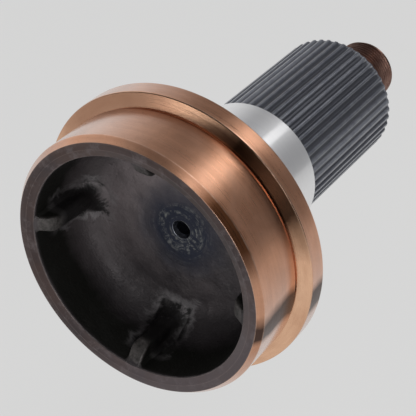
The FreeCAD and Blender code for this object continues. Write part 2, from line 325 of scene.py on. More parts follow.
def make_turned(name, corners, node, slot, *finishes, closed=True, around=AROUND, longest=None):
    """Round an outline, turn it, and let it stand for a CAD node."""
    points = divided(rounded(corners, closed), closed, longest)
    piece = turned(name, points, closed, around)
    stand_for(piece, node, slot, *finishes)
    return piece


def make_cup():
    """The cup: turned outside, dark rim and lip, forged hollow with a faced spot in its floor."""
    sizes = bpy.context.scene.stub_sizes
    rnd = sizes.edge_round
    turned_face, skin, rim, floor = 0, 1, 2, 3
    floor_at = RIM_AT + FLOOR_DEPTH
    corners = [
        (RIM_AT, SEAT_R - LEAD_HEIGHT, rnd, turned_face),
        (RIM_AT + LEAD_LENGTH, SEAT_R, rnd * 1.6, turned_face),
        (COLLAR_AT - UNDERCUT_WIDTH, SEAT_R, rnd * 0.8, turned_face),
        (COLLAR_AT - UNDERCUT_WIDTH, SEAT_R - UNDERCUT_DEPTH, rnd, turned_face),
        (COLLAR_AT, SEAT_R - UNDERCUT_DEPTH, 0, turned_face),
        (COLLAR_AT, COLLAR_BORE_R, 0, turned_face),
        (COLLAR_BACK, COLLAR_BORE_R, rnd, skin),
        (CUP_BACK, NECK_R + 1 * MM, rnd, skin),
        (CUP_BACK, SPIGOT_R, 0, skin),
        (SPIGOT_AT, SPIGOT_R, 0, floor),
        (floor_at, SPIGOT_R + 2.5 * MM, 0, floor),
        (floor_at, FLOOR_R, FLOOR_ROUND, skin),
        (RIM_AT + LIP_DEPTH, MOUTH_R, rnd * 1.5, rim),
        (RIM_AT, LIP_R, rnd * 0.8, rim),
    ]
    cup = make_turned(
        "tube_cup_dressed", corners, "tube_cup", "cup_steel", copper_film, forged_skin, dark_rim, cup_floor,
        around=AROUND_CUP, longest={skin: FORGED_STEP, floor: FORGED_STEP})
    soften_hollow(cup.data, sizes.forging_relief)


def soften_hollow(mesh, amount):
    """Give the forged hollow its small hills, fading out at the machined lip and the shaft's end."""
    floor_at = RIM_AT + FLOOR_DEPTH
    spots = []
    for vert in mesh.vertices:
        spot = vert.co.copy()
        radius = math.hypot(spot.x, spot.z)
        if radius < MOUTH_R + 0.1 * MM and spot.y < floor_at + 0.1 * MM:
            from_lip = (spot.y - RIM_AT - LIP_DEPTH) / (2 * MM)
            from_shaft = (radius - SPIGOT_R - 0.4 * MM) / (2 * MM)
            share = max(0.0, min(1.0, from_lip, from_shaft))
            spot += vert.normal * wander(spot, 9 * MM, amount * share)
        spots.extend(spot)
    mesh.vertices.foreach_set("co", spots)
    mesh.update()


def make_ribs():
    """The four ribs of the cup, each with a rounded end and a spread foot."""
    sizes = bpy.context.scene.stub_sizes
    for word, degrees in RIBS.items():
        rib = rib_piece(f"rib_{word}", math.radians(degrees), sizes)
        stand_for(rib, f"cup_rib_{word}", "forged_scale", forged_skin)


def rib_outline(width, reach, corner, wall_r):
    """Return one half of a rib's plan curve, from the wall round to the middle of its end."""
    half = []
    for step in range(6):
        turn = math.pi / 2 * step / 5
        half.append((wall_r - RIB_FLARE * math.sin(turn), width + RIB_FLARE * (1 - math.sin(turn))))
    inner = reach + corner
    for step in range(1, 9):
        half.append((wall_r - RIB_FLARE + (inner - wall_r + RIB_FLARE) * step / 8, width))
    for step in range(1, 7):
        turn = math.pi / 2 * step / 6
        half.append((inner - corner * math.sin(turn), width - corner * (1 - math.cos(turn))))
    left = width - corner
    half.append((reach, left / 2))
    half.append((reach, 0.0))
    return half


def hollow_depth(radius):
    """Return the depth of the cup's floor, or of the round at its edge, at this radius."""
    past = max(radius - ROUND_R, 0.0)
    return ROUND_DEPTH + math.sqrt(max(FLOOR_ROUND ** 2 - past ** 2, 0.0))


def rib_spread(sizes, radius, depth):
    """Return how much wider than at its top a rib is on one side, at a radius and a depth."""
    ground = hollow_depth(radius)
    slant = max((ground - ROUND_DEPTH) / FLOOR_ROUND, 0.4)
    above = max(ground - depth, 0.0) * slant
    spread = sizes.rib_draft * depth / FLOOR_DEPTH
    if above < sizes.rib_foot:
        spread += sizes.rib_foot - math.sqrt(sizes.rib_foot ** 2 - (sizes.rib_foot - above) ** 2)
    return spread


def rib_levels():
    """Return how far under a rib's top each plan curve lies, closest near the top and the floor."""
    lower = 0.6 * FLOOR_DEPTH
    levels = [share * RIB_TOP_ROUND for share in (0, 0.1, 0.25, 0.45, 0.7, 1.0)]
    levels += [RIB_TOP_ROUND + (lower - RIB_TOP_ROUND) * n / 8 for n in range(1, 9)]
    levels += [lower + (FLOOR_DEPTH - lower) * math.sin(math.pi / 2 * n / 14) for n in range(1, 15)]
    return levels + [FLOOR_DEPTH + 0.6 * MM]


def rib_top(r):
    """Return the depth of a rib's top: flush with the lip, then sloping to its rounded end."""
    if r > MOUTH_R:
        top = LIP_DEPTH * max(0.0, LIP_R - r) / (LIP_R - MOUTH_R)
    else:
        top = LIP_DEPTH + (RIB_SLOPE - LIP_DEPTH) * min(1.0, (MOUTH_R - r) / (MOUTH_R - RIB_END_R))
    if r < RIB_END_R + RIB_NOSE:
        gap = min(RIB_END_R + RIB_NOSE - r, RIB_NOSE)
        top += RIB_NOSE - math.sqrt(max(RIB_NOSE ** 2 - gap ** 2, 0.0))
    return min(top, RIB_SLOPE + RIB_NOSE)


def rib_plan(down, inset, half_width, sizes):
    """Return a rib's plan curve at one level, as (radius, across) points, and its half width."""
    foot_r = RIB_END_R - 2 * MM
    ground = hollow_depth(foot_r)
    end_spread = rib_spread(sizes, foot_r, RIB_SLOPE + down * (ground - RIB_SLOPE) / FLOOR_DEPTH)
    width = half_width + end_spread - inset
    reach = RIB_END_R - end_spread + inset
    corner = min(width * 0.95, 1.4 * MM + end_spread * 0.8)
    wall_r = MOUTH_R - 1.3 * MM * min(down / FLOOR_DEPTH, 1.0) + 0.5 * MM
    if down < LIP_DEPTH:
        wall_r = LIP_R + 0.1 * MM - (LIP_R - MOUTH_R - 0.4 * MM) * down / LIP_DEPTH
    plan = rib_outline(width, reach, corner, wall_r)
    return plan + [(r, -across) for r, across in reversed(plan[:-1])], width


def rib_piece(name, angle, sizes):
    """Loft one rib through its plan curves, from its top to the cup's floor, and turn it to its place."""
    half_width = sizes.rib_thickness / 2
    made = bmesh.new()
    edge = made.verts.layers.float.new("edge")
    fillet = made.verts.layers.float.new("fillet")
    turn = Matrix.Rotation(-angle, 4, "Y")
    rows = []
    for down in rib_levels():
        left = max(RIB_TOP_ROUND - down, 0.0)
        inset = RIB_TOP_ROUND - math.sqrt(RIB_TOP_ROUND ** 2 - left ** 2)
        plan, width = rib_plan(down, inset, half_width, sizes)
        row = []
        for r, across in plan:
            top = rib_top(r)
            depth = top + down * (hollow_depth(r) - top) / FLOOR_DEPTH
            side_spread = rib_spread(sizes, r, depth)
            across *= (half_width + side_spread - inset) / width
            spot = Vector((r, RIM_AT + depth, across))
            share = min(1.0, down / (4 * MM))
            spot += Vector((0, 0, 1 if across > 0 else -1)) * wander(
                turn @ spot, 7 * MM, sizes.forging_relief * 0.8 * share)
            vert = made.verts.new(turn @ spot)
            vert[edge] = 0.8 if down <= RIB_TOP_ROUND and r < MOUTH_R - 1 * MM else 0.0
            vert[fillet] = min(1.0, side_spread / sizes.rib_foot)
            row.append(vert)
        rows.append(row)
    join_rows(made, rows)
    for row in (rows[0], rows[-1]):
        for step in range(len(row) // 2 - 1):
            other = len(row) - 1 - step
            made.faces.new((row[step], row[step + 1], row[other - 1], row[other]))
        middle = len(row) // 2
        made.faces.new((row[middle - 1], row[middle], row[middle + 1]))
    bmesh.ops.recalc_face_normals(made, faces=made.faces)
    return finish_mesh(name, made)


def make_collar():
    """The weld collar behind the tube seat, with its wide weld bevel."""
    rnd = bpy.context.scene.stub_sizes.edge_round
    corners = [
        (COLLAR_AT, COLLAR_BORE_R, 0, 0),
        (COLLAR_AT, COLLAR_R - WELD_BEVEL_HEIGHT, rnd, 1),
        (COLLAR_AT + WELD_BEVEL_LENGTH, COLLAR_R, rnd * 1.4, 0),
        (COLLAR_BACK - COLLAR_CHAMFER, COLLAR_R, rnd * 1.6, 0),
        (COLLAR_BACK, COLLAR_R - COLLAR_CHAMFER, rnd, 0),
        (COLLAR_BACK, COLLAR_BORE_R, 0, 0),
    ]
    make_turned("weld_collar_dressed", corners, "weld_collar", "cup_steel", copper_film, bevel_film_with_painted_reflections,
                around=AROUND_CUP)


def make_neck():
    """The forged neck between the cup's back and the bearing's shoulder."""
    rnd = bpy.context.scene.stub_sizes.edge_round
    shoulder_r = NECK_R - NECK_FLARE
    corners = [
        (CUP_BACK, SPIGOT_R, 0, 0),
        (CUP_BACK, NECK_R, rnd, 0),
        (CUP_BACK + NECK_TAPER, shoulder_r, NECK_ROUND, 0),
        (SHOULDER_AT - SHOULDER_CHAMFER, shoulder_r, rnd, 1),
        (SHOULDER_AT, shoulder_r - SHOULDER_CHAMFER, rnd, 1),
        (SHOULDER_AT, SPIGOT_R, 0, 1),
    ]
    make_turned("neck_hub_dressed", corners, "neck_hub", "forged_scale", forged_skin, ground_bright)


def make_journal():
    """The ground journal for the centre bearing."""
    rnd = bpy.context.scene.stub_sizes.edge_round
    corners = [
        (SHOULDER_AT, JOURNAL_R - JOURNAL_WALL, 0, 0),
        (SHOULDER_AT, JOURNAL_R, 0, 0),
        (SPLINE_AT - JOURNAL_CHAMFER, JOURNAL_R, rnd * 0.6, 0),
        (SPLINE_AT, JOURNAL_R - JOURNAL_CHAMFER, rnd * 0.6, 0),
        (SPLINE_AT, JOURNAL_R - JOURNAL_WALL, 0, 0),
    ]
    make_turned("journal_dressed", corners, "journal_ring", "ground_steel", ground_bright)


def tooth_plan(sizes):
    """Return the spline's section as (angle, radius, edge) points, with small rounds at tip and root."""
    root_r = TIP_R - sizes.tooth_height
    pitch = 2 * math.pi / sizes.tooth_count
    tip_half = (pitch * TIP_R - SPACE_AT_TIP) / 2
    root_half = SPACE_AT_ROOT / 2
    small = TOOTH_ROUND
    steps = [
        (0.0, TIP_R, 0.6),
        (tip_half - small, TIP_R, 1.0),
        (tip_half - small * 0.3, TIP_R - small * 0.3, 1.0),
        (tip_half + small * 0.35, TIP_R - small, 0.7),
    ]
    plan = []
    for number in range(sizes.tooth_count):
        centre = number * pitch
        side = [(across / TIP_R, radius, wear) for across, radius, wear in steps]
        space = [
            (pitch / 2 - (root_half + small) / root_r, root_r + small, 0.0),
            (pitch / 2 - (root_half - small * 0.4) / root_r, root_r + small * 0.15, 0.0),
            (pitch / 2 - (root_half - small * 1.6) / root_r, root_r, 0.0),
        ]
        ahead = side + space
        mirrored = [(-angle, radius, wear) for angle, radius, wear in reversed(ahead[1:])]
        plan += [(centre + angle, radius, wear) for angle, radius, wear in mirrored + ahead]
    return plan


def make_spline():
    """The splined shaft with its chamfered end, and the shaft's other end in the cup's floor."""
    sizes = bpy.context.scene.stub_sizes
    root_r = TIP_R - sizes.tooth_height
    chamfer = SPLINE_CHAMFER
    made = bmesh.new()
    edge = made.verts.layers.float.new("edge")
    stations = [
        (SPLINE_AT, TIP_R), (SPLINE_AT + 0.3 * MM, TIP_R), (SPLINE_AT + 4 * MM, TIP_R),
        (SPLINE_END - 8 * MM, TIP_R), (SPLINE_END - chamfer - 0.25 * MM, TIP_R),
        (SPLINE_END - chamfer, TIP_R - 0.03 * MM), (SPLINE_END - chamfer + 0.12 * MM, TIP_R - 0.14 * MM),
        (SPLINE_END - 0.12 * MM, TIP_R - chamfer + 0.1 * MM), (SPLINE_END, TIP_R - chamfer),
        (SPLINE_END, NOSE_R),
    ]
    plan = tooth_plan(sizes)
    rows = []
    for along, limit in stations:
        row = []
        for angle, radius, wear in plan:
            r = min(radius, limit)
            vert = made.verts.new((r * math.cos(angle), along, r * math.sin(angle)))
            vert[edge] = wear if limit == TIP_R else 0.8
            row.append(vert)
        rows.append(row)
    join_rows(made, rows)
    for row in (rows[0], rows[-1]):
        hub = made.verts.new((0, row[0].co.y, 0))
        for step in range(len(plan)):
            made.faces.new((row[step], row[(step + 1) % len(plan)], hub))
    bmesh.ops.recalc_face_normals(made, faces=made.faces)
    teeth = finish_mesh("spline_teeth", made)
    stand_for(teeth, "spline_shaft", "spline_steel", hardened_steel)

    rnd = sizes.edge_round
    corners = [
        (SPIGOT_AT + CENTRE_DEPTH, 0.0, 0, 1),
        (SPIGOT_AT + CENTRE_DEPTH, CENTRE_R, 0, 1),
        (SPIGOT_AT + 1.4 * MM, CENTRE_R, rnd * 0.5, 1),
        (SPIGOT_AT, CENTRE_R + 0.8 * MM, rnd, 0),
        (SPIGOT_AT, SPIGOT_R, 0, 1),
        (SHOULDER_AT, SPIGOT_R, 0, 1),
        (SHOULDER_AT, 0.0, 0, 1),
    ]
    make_turned("shaft_end", corners, "spline_shaft", "spline_steel", cup_floor, hardened_steel,
                closed=False, longest={0: FORGED_STEP})


def make_nose():
    """The threaded nose with its relief, end chamfer and centre hole."""
    sizes = bpy.context.scene.stub_sizes
    pitch = sizes.thread_pitch
    deep = THREAD_DEPTH * pitch
    start, end = SPLINE_END, NOSE_END
    relief_r = NOSE_R - RELIEF_HEIGHT
    chamfer = NOSE_CHAMFER
    profile = [(0.0, 1.0), (0.12, 1.0), (0.42, 0.04), (0.5, 0.0), (0.62, 0.0), (0.70, 0.04)]
    around = AROUND_NOSE
    made = bmesh.new()
    edge = made.verts.layers.float.new("edge")
    first_y = start + RELIEF_LENGTH
    turns = math.ceil((end - first_y) / pitch) + 2
    columns = []
    for step in range(around):
        angle = 2 * math.pi * step / around
        column = []
        for turn in range(-1, turns):
            for share, height in profile:
                along = min(max(first_y + pitch * (turn + share + step / around), first_y), end)
                limit = min(relief_r + (along - first_y), NOSE_R - chamfer + (end - along))
                radius = min(NOSE_R - deep * (1 - height), limit)
                vert = made.verts.new((radius * math.cos(angle), along, radius * math.sin(angle)))
                vert[edge] = height
                column.append(vert)
        columns.append(column)
    for step, first in enumerate(columns):
        following = columns[0][len(profile):] if step == around - 1 else columns[step + 1]
        for row in range(min(len(first), len(following)) - 1):
            made.faces.new((first[row], first[row + 1], following[row + 1], following[row]))
    bmesh.ops.remove_doubles(made, verts=made.verts, dist=2e-6)
    bmesh.ops.dissolve_degenerate(made, edges=made.edges, dist=2e-6)
    bmesh.ops.recalc_face_normals(made, faces=made.faces)
    thread = finish_mesh("nose_thread", made)
    stand_for(thread, "nose_stud", "nose_steel", nose_film)

    rnd = sizes.edge_round
    corners = [
        (start, 0.0, 0, 0),
        (start, relief_r, 0, 0),
        (first_y, relief_r, 0, 0),
        (first_y + 0.5 * MM, relief_r - 0.4 * MM, 0, 0),
        (end - 0.8 * MM, relief_r - 0.6 * MM, 0, 0),
        (end, NOSE_R - chamfer, rnd, 0),
        (end, NOSE_HOLE_R, rnd, 0),
        (end - NOSE_HOLE_DEPTH, NOSE_HOLE_R, 0, 0),
        (end - NOSE_HOLE_DEPTH, 0.0, 0, 0),
    ]
    make_turned("nose_core", corners, "nose_stud", "nose_steel", nose_film,
                closed=False, around=AROUND_NOSE)


# Finishes


def fill(tree, node, inputs):
    """Link or set a node's inputs by their names or numbers."""
    for key, value in inputs.items():
        if isinstance(value, bpy.types.NodeSocket):
            tree.links.new(value, node.inputs[key])
        else:
            node.inputs[key].default_value = value


def put(tree, kind, inputs=None, **settings):
    """Add a node, set its properties and fill its inputs."""
    made = tree.nodes.new(kind)
    for key, value in settings.items():
        setattr(made, key, value)
    fill(tree, made, inputs or {})
    return made


def new_group(name, inputs, outputs):
    """Start a shader node group with named sockets; return its tree, its inputs and its output node."""
    tree = bpy.data.node_groups.new(name, "ShaderNodeTree")
    for label, default in inputs.items():
        socket = tree.interface.new_socket(label, in_out="INPUT", socket_type="NodeSocketFloat")
        socket.default_value = default
    for label in outputs:
        tree.interface.new_socket(label, in_out="OUTPUT", socket_type="NodeSocketFloat")
    return tree, tree.nodes.new("NodeGroupInput").outputs, tree.nodes.new("NodeGroupOutput")


def math_node(tree, operation, *values, clamp=False):
    """Add a math node and return its value."""
    inputs = dict(enumerate(values))
    return put(tree, "ShaderNodeMath", inputs, operation=operation, use_clamp=clamp).outputs[0]


def times(tree, first, second, clamp=False):
    """Multiply two values."""
    return math_node(tree, "MULTIPLY", first, second, clamp=clamp)


def sum_of(tree, value, factor, added):
    """Multiply a value by a factor, and add another to it."""
    return math_node(tree, "MULTIPLY_ADD", value, factor, added)


def remap(tree, value, first, last, low, high):
    """Turn a value's run from first to last into a run from low to high, held at both ends."""
    return put(tree, "ShaderNodeMapRange", {0: value, 1: first, 2: last, 3: low, 4: high}).outputs[0]


def spread(tree, value, low, high):
    """Stretch a noise's value so that it runs from low to high."""
    return remap(tree, value, 0.3, 0.7, low, high)


def object_place(tree):
    """Return the place on the piece."""
    return put(tree, "ShaderNodeTexCoord").outputs["Object"]


def object_axes(tree):
    """Return the place on the piece as X, Y and Z."""
    return put(tree, "ShaderNodeSeparateXYZ", {0: object_place(tree)}).outputs


def noise_value(tree, scale, detail, roughness=0.5, distortion=0.0, place=None):
    """Return a noise at the place on the piece, or at another place."""
    if place is None:
        place = object_place(tree)
    return put(tree, "ShaderNodeTexNoise", {
        "Vector": place, "Scale": scale, "Detail": detail,
        "Roughness": roughness, "Distortion": distortion}).outputs[0]


def mask_of(tree, name):
    """Return a mask that the mesh carries."""
    return put(tree, "ShaderNodeAttribute", attribute_name=name).outputs["Fac"]


def turning_marks():
    """Fine rings left by a tool, round the shaft's axis and concentric on its faces."""
    tree, given, out = new_group("turning_marks", {"Spacing": 0.4, "Wander": 8.0}, ["Height", "Streak"])
    x, y, z = object_axes(tree)
    radius = math_node(tree, "SQRT", sum_of(tree, x, x, times(tree, z, z)))
    travel = times(tree, math_node(tree, "ADD", y, radius), 1000.0)
    rings = math_node(tree, "DIVIDE", travel, given["Spacing"])
    across = times(tree, x, given["Wander"])
    up = times(tree, z, given["Wander"])
    spot = put(tree, "ShaderNodeCombineXYZ", {0: across, 1: rings, 2: up}).outputs[0]
    fine = noise_value(tree, 1.0, 3.0, 0.65, place=spot)
    stretch = (2.2, 0.11, 2.2)
    slow = put(tree, "ShaderNodeVectorMath", {0: spot, 1: stretch}, operation="MULTIPLY").outputs[0]
    broad = noise_value(tree, 1.0, 4.0, 0.6, place=slow)
    fill(tree, out, {"Height": fine, "Streak": broad})
    return tree


def forged_surface():
    """The lumpy, pitted skin of a forging."""
    tree, given, out = new_group("forged_surface", {"Grain": 900.0}, ["Height", "Tone", "Rub"])
    grain = given["Grain"]
    fine = noise_value(tree, grain, 5.0, 0.62)
    coarse = noise_value(tree, times(tree, grain, 0.22), 3.0, distortion=0.4)
    pits = put(tree, "ShaderNodeTexVoronoi", {
        "Vector": object_place(tree), "Scale": times(tree, grain, 0.6)})
    pit = remap(tree, pits.outputs["Distance"], 0.05, 0.32, 0.0, 1.0)
    lumps = sum_of(tree, coarse, 1.8, fine)
    height = sum_of(tree, pit, 0.35, lumps)
    tone = noise_value(tree, times(tree, grain, 0.09), 5.0, 0.6)
    rub = remap(tree, lumps, 1.45, 1.9, 0.0, 1.0)
    fill(tree, out, {"Height": height, "Tone": tone, "Rub": rub})
    return tree


def edge_wear():
    """A mask of rubbed edges, broken up by noise."""
    tree, given, out = new_group("edge_wear", {"Amount": 1.0, "Scale": 400.0}, ["Mask"])
    edge = mask_of(tree, "edge")
    patches = noise_value(tree, given["Scale"], 4.0, 0.7)
    broken = remap(tree, patches, 0.35, 0.6, 0.25, 1.0)
    worn = times(tree, edge, broken)
    tree.links.new(times(tree, worn, given["Amount"], clamp=True), out.inputs["Mask"])
    return tree


def handling():
    """Soft smears of oil and fingers that vary a polished surface."""
    tree, given, out = new_group("handling", {"Scale": 60.0}, ["Smear", "Speck"])
    smear = noise_value(tree, given["Scale"], 4.0, 0.6, 0.8)
    soft = remap(tree, smear, 0.35, 0.68, 0.0, 1.0)
    speck = noise_value(tree, 2600.0, 2.0)
    dots = remap(tree, speck, 0.62, 0.74, 0.0, 1.0)
    fill(tree, out, {"Smear": soft, "Speck": dots})
    return tree


def fillet_patches():
    """Irregular lighter patches on the fillets."""
    tree, given, out = new_group("fillet_patches", {"Scale": 150.0}, ["Mask"])
    fillet = mask_of(tree, "fillet")
    blots = noise_value(tree, given["Scale"], 5.0, 0.75, 0.7)
    patch = remap(tree, blots, 0.55, 0.64, 0.0, 1.0)
    mask = times(tree, fillet, patch, clamp=True)
    tree.links.new(mask, out.inputs["Mask"])
    return tree


def use_group(tree, make, **values):
    """Place a shared group in a material with its own values; its maker runs once."""
    made = tree.nodes.new("ShaderNodeGroup")
    made.node_tree = bpy.data.node_groups.get(make.__name__) or make()
    for key, value in values.items():
        made.inputs[key].default_value = value
    return made.outputs


def mix(tree, share, first, second):
    """Mix two colours by a share and return the colour."""
    made = tree.nodes.new("ShaderNodeMix")
    made.data_type = "RGBA"
    for socket, value in ((made.inputs[0], share), (made.inputs[6], first), (made.inputs[7], second)):
        if isinstance(value, bpy.types.NodeSocket):
            tree.links.new(value, socket)
        elif isinstance(value, float):
            socket.default_value = value
        else:
            socket.default_value = (*value[:3], 1.0)
    return made.outputs[2]


def layered(tree, base, *layers):
    """Lay colours over a base, each by its own mask."""
    for share, tone in layers:
        base = mix(tree, share, base, tone)
    return base


def material_of(make):
    """Return the material named after its maker, which gives its shader's inputs; it is made once."""
    if make.__name__ in bpy.data.materials:
        return bpy.data.materials[make.__name__]
    material = bpy.data.materials.new(make.__name__)
    material.use_nodes = True
    tree = material.node_tree
    fill(tree, tree.nodes["Principled BSDF"], make(tree))
    return material


def bump(tree, height, distance):
    """Return the normal of a surface with small heights, in metres."""
    return put(tree, "ShaderNodeBump", {"Height": height, "Distance": distance}).outputs[0]


def copper_film(tree):
    """Turned steel under a thin copper-coloured film and a wipe of oil."""
    colours = bpy.context.scene.stub_colours
    marks = use_group(tree, turning_marks, Spacing=0.35, Wander=9.0)
    smears = use_group(tree, handling, Scale=45.0)
    wear = use_group(tree, edge_wear, Amount=0.4, Scale=300.0)
    base = mix(tree, spread(tree, marks["Streak"], 0.0, 0.5), colours.film, colours.film_deep)
    blots = use_group(tree, handling, Scale=95.0)
    base = layered(
        tree, base,
        (times(tree, blots["Smear"], 0.38), (0.42, 0.19, 0.10)),
        (times(tree, smears["Smear"], 0.22), (0.66, 0.47, 0.38)),
        (times(tree, smears["Speck"], 0.35), (0.20, 0.11, 0.08)))
    # Painted reflection: a dark streak on the seat and collar stands in for a dark reflection, and the coat
    # is left off it
    seat_painted_reflection = painted_reflection_band(tree, SEAT_PAINTED_REFLECTION_AT, 0.16, 0.07)
    base = mix(tree, seat_painted_reflection, base, (0.055, 0.034, 0.028))
    lead = remap(tree, object_axes(tree)["Y"], RIM_AT + 3 * MM, RIM_AT + 2.3 * MM, 0.0, 1.0)
    # Painted reflection: the lead bevel is browned round one angle in place of a dark reflection
    brown = times(tree, painted_reflection_band(tree, LEAD_PAINTED_REFLECTION_AT, 0.38, 0.18), lead)
    base = layered(
        tree, base,
        (brown, (0.20, 0.075, 0.03)),
        (wear["Mask"], (0.84, 0.58, 0.45)))
    beyond_seat_painted_reflection = math_node(tree, "SUBTRACT", 1.0, seat_painted_reflection)
    return {
        "Base Color": base,
        "Coat Weight": times(tree, slanted_gloss(tree), beyond_seat_painted_reflection),
        "Coat IOR": 2.7,
        "Coat Roughness": 0.18,
        "Metallic": 1.0,
        "Roughness": sum_of(tree, smears["Smear"], 0.08, spread(tree, marks["Height"], 0.23, 0.33)),
        "Normal": bump(tree, marks["Height"], 0.000012),
    }


def slanted_gloss(tree):
    """Return the gloss of an oil film, which shows where the surface is seen at a slant."""
    facing = put(tree, "ShaderNodeLayerWeight", {"Blend": 0.5}).outputs["Facing"]
    return remap(tree, facing, 0.42, 0.74, 0.05, 1.0)


def painted_reflection_band(tree, middle, soft, full):
    """Return the mask of a painted dark reflection in a band round one angle, from its soft edge to its
    full tone.
    """
    axes = object_axes(tree)
    away = math_node(tree, "SUBTRACT", math_node(tree, "ARCTAN2", axes["Z"], axes["X"]), middle)
    blots = noise_value(tree, 60.0, 3.0)
    off = math_node(tree, "ABSOLUTE", sum_of(tree, blots, 0.24, away))
    return remap(tree, off, soft, full, 0.0, 0.96)


def bevel_film_with_painted_reflections(tree):
    """The collar's weld bevel: the film, with painted dark reflections round two angles."""
    marks = use_group(tree, turning_marks, Spacing=0.45, Wander=30.0)
    smears = use_group(tree, handling, Scale=90.0)
    wear = use_group(tree, edge_wear, Amount=0.25, Scale=300.0)
    # Painted reflection: a near-black band and a paler brown band on the bevel stand in for dark
    # reflections
    bevel_painted_reflection = painted_reflection_band(tree, BEVEL_PAINTED_REFLECTION_AT, 0.58, 0.28)
    tan = times(tree, painted_reflection_band(tree, BEVEL_DIM_PAINTED_REFLECTION_AT, 0.70, 0.40), 0.75)
    base = mix(tree, spread(tree, marks["Streak"], 0.0, 0.5), (0.93, 0.58, 0.38), (0.55, 0.28, 0.16))
    base = layered(
        tree, base,
        (times(tree, smears["Smear"], 0.25), (0.50, 0.27, 0.17)),
        (tan, (0.36, 0.18, 0.115)),
        (bevel_painted_reflection, (0.022, 0.010, 0.005)),
        (wear["Mask"], (0.70, 0.46, 0.34)))
    return {
        "Base Color": base,
        "Metallic": 1.0,
        "Roughness": spread(tree, marks["Height"], 0.18, 0.28),
        "Normal": bump(tree, marks["Height"], 0.00003),
    }


def dark_rim(tree):
    """The rim's face and lip, turned through the dark skin."""
    marks = use_group(tree, turning_marks, Spacing=0.3, Wander=12.0)
    smears = use_group(tree, handling, Scale=70.0)
    wear = use_group(tree, edge_wear, Amount=0.3, Scale=350.0)
    grain = use_group(tree, forged_surface, Grain=1400.0)
    base = mix(tree, spread(tree, marks["Streak"], 0.1, 0.9), (0.040, 0.032, 0.034), (0.100, 0.078, 0.078))
    base = mix(tree, times(tree, smears["Smear"], 0.35), base, (0.15, 0.090, 0.068))
    axes = object_axes(tree)
    # Painted light: the rim is paler towards the lower right
    low_right = math_node(tree, "SUBTRACT", axes["X"], axes["Z"])
    pale = remap(tree, low_right, 15 * MM, 55 * MM, 0.0, 0.5)
    base = layered(
        tree, base,
        (pale, (0.17, 0.145, 0.155)),
        (times(tree, grain["Rub"], 0.45), (0.21, 0.18, 0.185)),
        (wear["Mask"], (0.30, 0.24, 0.23)))
    return {
        "Base Color": base,
        "Metallic": 0.85,
        "Roughness": sum_of(tree, smears["Smear"], 0.12, 0.34),
        "Normal": bump(tree, marks["Height"], 0.00002),
    }


def wall_painted_shade(tree):
    """Return the mask of the painted shade on the hollow's wall, ragged towards the floor."""
    along = object_axes(tree)["Y"]
    ragged = sum_of(tree, noise_value(tree, 90.0, 5.0, 0.65, 0.6), 10 * MM, along)
    start = RIM_AT + ROUND_DEPTH + 8 * MM
    deep = remap(tree, ragged, start, start - 5 * MM, 0.0, 1.0)
    lip = remap(tree, along, RIM_AT + 1.2 * MM, RIM_AT + 2.2 * MM, 0.0, 0.95)
    return times(tree, deep, lip)


def rib_painted_shadows(tree):
    """Return the masks of the painted shadows round the ribs' feet and of the lighter specks round them."""
    x, y, z = object_axes(tree)
    side, up = math_node(tree, "ABSOLUTE", x), math_node(tree, "ABSOLUTE", z)
    blots = noise_value(tree, 125.0, 5.0, 0.7, 0.8)
    across = sum_of(tree, blots, 15 * MM, math_node(tree, "MINIMUM", side, up))
    reach = sum_of(tree, blots, -15 * MM, math_node(tree, "MAXIMUM", side, up))
    below = remap(tree, y, -5 * MM, -1 * MM, 0.0, 0.92)
    in_hollow = remap(tree, y, 18 * MM, 17 * MM, 0.0, 1.0)
    below = times(tree, below, in_hollow)
    masks = []
    for wide, far in ((14.5, 22.5), (17.0, 19.0)):
        beside = remap(tree, across, wide * MM, (wide - 2) * MM, 0.0, 1.0)
        along = remap(tree, reach, far * MM, (far + 2) * MM, 0.0, 1.0)
        inside = times(tree, beside, along)
        masks.append(times(tree, inside, below))
    return masks


def skin_colour(tree):
    """Lay the forged skin's colours and the hollow's painted light and shade on a material's tree; return
    the colour and the skin's values.
    """
    colours = bpy.context.scene.stub_colours
    forged = use_group(tree, forged_surface, Grain=850.0)
    wear = use_group(tree, edge_wear, Amount=0.4, Scale=420.0)
    patches = use_group(tree, fillet_patches, Scale=170.0)
    axes = object_axes(tree)
    x, z = axes["X"], axes["Z"]
    # Painted light and shade: the skin is lighter towards the upper left and darker towards the lower right
    across = math_node(tree, "SUBTRACT", times(tree, z, 0.65), times(tree, x, 0.75))
    painted_light_upper_left = remap(tree, across, -4 * MM, 20 * MM, 0.0, 1.0)
    share = sum_of(tree, painted_light_upper_left, 0.7, spread(tree, forged["Tone"], 0.0, 0.3))
    base = mix(tree, share, colours.skin, (0.240, 0.203, 0.208))
    base = mix(tree, times(tree, forged["Rub"], 0.3), base, colours.skin_worn)
    radius = math_node(tree, "SQRT", sum_of(tree, x, x, times(tree, z, z)))
    # Painted shade: the skin darkens outwards from a radius of 28 mm, over the floor's round and the wall
    corner = remap(tree, radius, 28 * MM, 34 * MM, 0.0, 0.7)
    # Painted shade: the hollow's wall is near black below the lip
    base = layered(
        tree, base,
        (corner, (0.034, 0.029, 0.031)),
        (wall_painted_shade(tree), (0.0130, 0.0135, 0.0105)))
    # Painted shadow: near-black patches round the ribs' feet, with lighter specks round their far ends
    rib_painted_shadow, rubbed = rib_painted_shadows(tree)
    specks = remap(tree, forged["Tone"], 0.44, 0.56, 0.1, 0.75)
    base = layered(
        tree, base,
        (times(tree, rubbed, specks), (0.26, 0.245, 0.25)),
        (rib_painted_shadow, (0.008, 0.007, 0.007)),
        (times(tree, patches["Mask"], 0.25), (0.27, 0.25, 0.255)),
        (wear["Mask"], (0.30, 0.265, 0.26)))
    return base, forged


def forged_skin(tree):
    """Dark forged skin, rubbed bright on its high spots, with the hollow's painted light and shade."""
    base, forged = skin_colour(tree)
    return {
        "Base Color": base,
        "Metallic": 0.45,
        "Roughness": spread(tree, forged["Tone"], 0.42, 0.60),
        "Normal": bump(tree, forged["Height"], 0.00016),
    }


